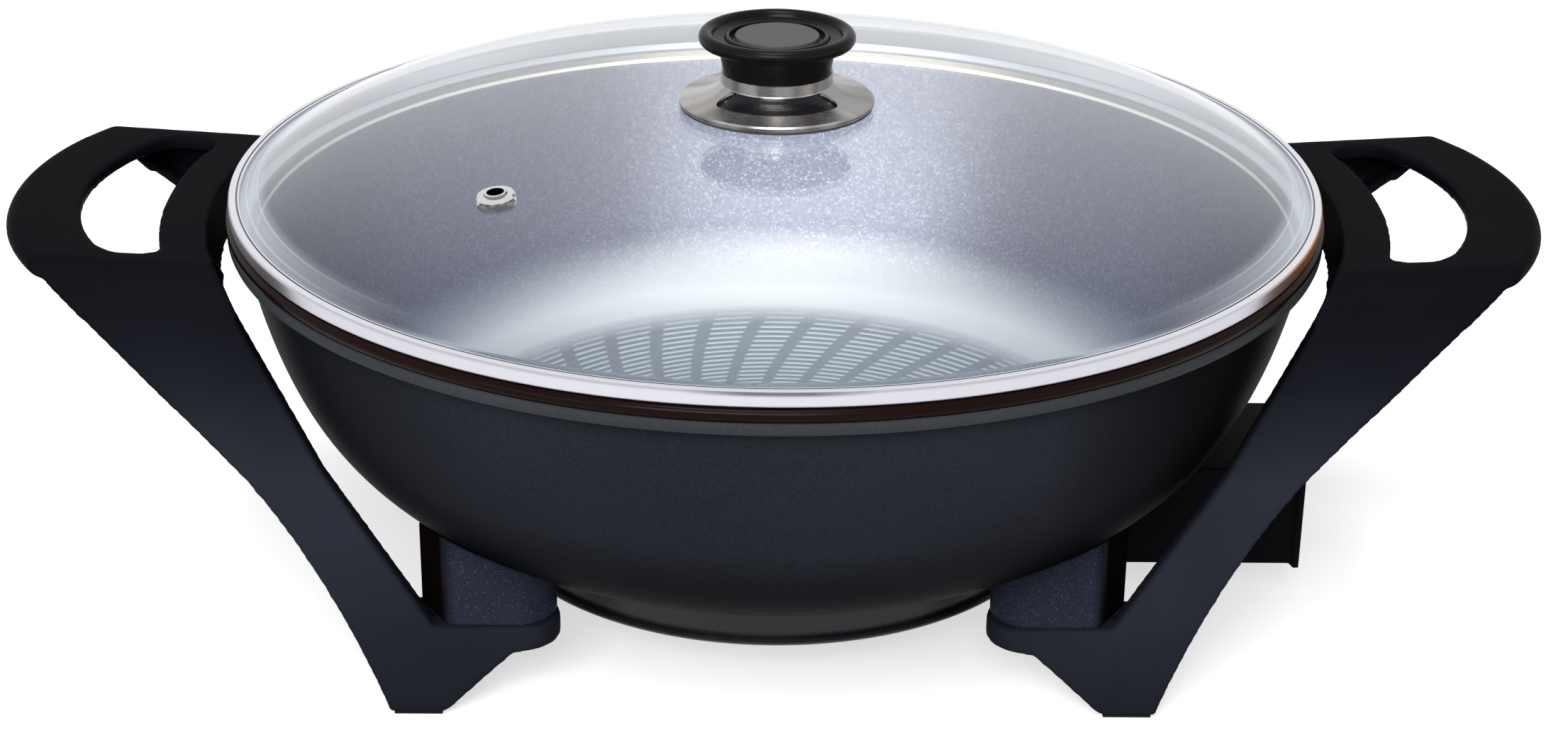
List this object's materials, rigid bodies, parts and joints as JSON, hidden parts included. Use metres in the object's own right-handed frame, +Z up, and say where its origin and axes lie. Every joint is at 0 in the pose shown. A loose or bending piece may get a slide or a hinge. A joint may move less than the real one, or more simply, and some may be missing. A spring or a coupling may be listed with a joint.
{
  "type": "electric wok",
  "caption": "Electric wok: a deep round pan on two one-piece handle-legs with a probe socket under one side, and a domed lift-off glass lid with a knob and steam vent.",
  "frame": {"origin": "on the table under the middle of the pan, at the bottom of the rubber foot pads", "axes": "+Z up; the front faces -Y; +X runs from the left grip to the right grip, the side that carries the probe socket"},
  "size_m": [0.55, 0.393, 0.2126],
  "materials": {
    "coated_aluminium": "dark satin enamel outside, grey non-stick coating inside, over cast aluminium",
    "painted_steel": "black heat-proof paint on pressed steel",
    "zinc_steel": "zinc-plated steel screws",
    "element_steel": "dulled steel sheath of the heating element",
    "plain_steel": "plain stainless steel",
    "plated_pin": "bright plated terminal pins",
    "ceramic": "off-white glazed ceramic",
    "phenolic_socket": "black moulded phenolic",
    "phenolic_spacer": "blue-black speckled phenolic with a soft sheen",
    "phenolic_handle": "black satin moulded phenolic with a fine grain",
    "foot_rubber": "black rubber",
    "lid_glass": "clear tempered glass",
    "band_steel": "polished stainless steel band",
    "silicone": "dark grey silicone",
    "bright_steel": "polished stainless steel",
    "phenolic_knob": "black phenolic with a soft gloss",
    "knob_disc": "dark grey satin disc",
    "satin_steel": "satin steel with a turned grain",
    "phenolic_stem": "black moulded phenolic",
    "brass_insert": "threaded brass"
  },
  "bodies": {
    "base": {"pan": "coated_aluminium", "base_cover": "painted_steel", "base_cover_screws": "zinc_steel", "heating_element": "element_steel", "probe_tube": "plain_steel", "terminal_pin_front": "plated_pin", "terminal_pin_rear": "plated_pin", "terminal_bush_front": "ceramic", "terminal_bush_rear": "ceramic", "probe_shroud": "phenolic_socket", "shroud_screws": "zinc_steel", "spacer_front_left": "phenolic_spacer", "spacer_front_right": "phenolic_spacer", "spacer_rear_left": "phenolic_spacer", "spacer_rear_right": "phenolic_spacer", "handle_leg_left": "phenolic_handle", "handle_leg_right": "phenolic_handle", "bracket_screws": "zinc_steel", "foot_pad_front_left": "foot_rubber", "foot_pad_front_right": "foot_rubber", "foot_pad_rear_left": "foot_rubber", "foot_pad_rear_right": "foot_rubber"},
    "lid": {"lid_glass": "lid_glass", "lid_band": "band_steel", "lid_liner": "silicone", "vent_eyelet": "bright_steel", "vent_ring": "bright_steel", "knob_cap": "phenolic_knob", "knob_disc": "knob_disc", "knob_collar": "satin_steel", "knob_stem": "phenolic_stem", "knob_insert": "brass_insert", "knob_gasket": "silicone", "knob_seat_washer": "silicone", "knob_lower_washer": "silicone", "knob_plate_washer": "plain_steel", "knob_screw": "plain_steel"}
  },
  "joints": [
    {"name": "lid_lift", "type": "slide", "parent": "base", "child": "lid", "axis": [0, 0, 1], "range_m": [0, 0.15]}
  ]
}
